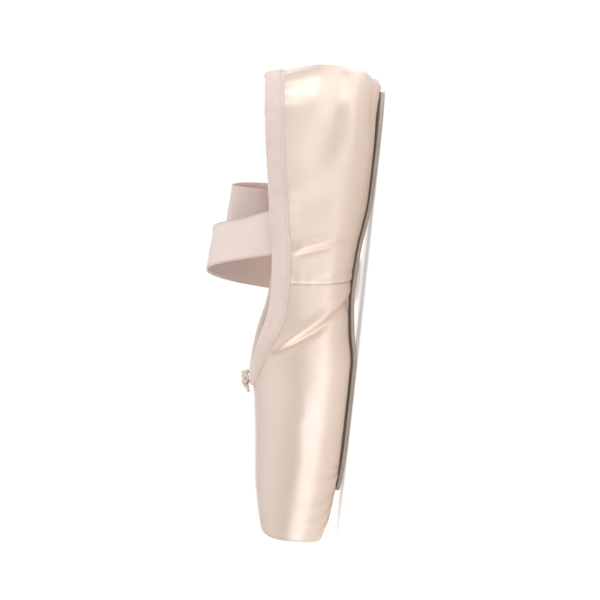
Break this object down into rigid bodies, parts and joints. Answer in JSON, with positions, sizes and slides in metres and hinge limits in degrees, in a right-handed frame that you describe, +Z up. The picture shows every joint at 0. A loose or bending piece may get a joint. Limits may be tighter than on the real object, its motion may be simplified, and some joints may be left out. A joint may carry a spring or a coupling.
{
  "type": "pointe shoe",
  "caption": "Satin ballet pointe shoe with a flat toe platform, bound collar with drawstring knot, suede outsole and loose ribbons.",
  "frame": {"origin": "on the floor under the middle of the shoe, ribbons and knot left out", "axes": "+X towards the toe platform, +Y towards the shoe's left side, +Z up out of the collar"},
  "size_m": [0.2322, 0.2544, 0.0764],
  "materials": {
    "satin": "glossy satin weave",
    "casing": "matte ribbed tape",
    "suede": "napped suede",
    "sock": "matte plain weave",
    "cord": "matte braided cotton",
    "ribbon_medial_satin": "soft satin",
    "ribbon_lateral_satin": "soft satin"
  },
  "bodies": {
    "root": {"upper": "satin", "binding": "casing", "outsole": "suede", "insole": "sock", "drawstring_knot": "cord", "ribbon_medial": "ribbon_medial_satin", "ribbon_lateral": "ribbon_lateral_satin"}
  },
  "joints": []
}
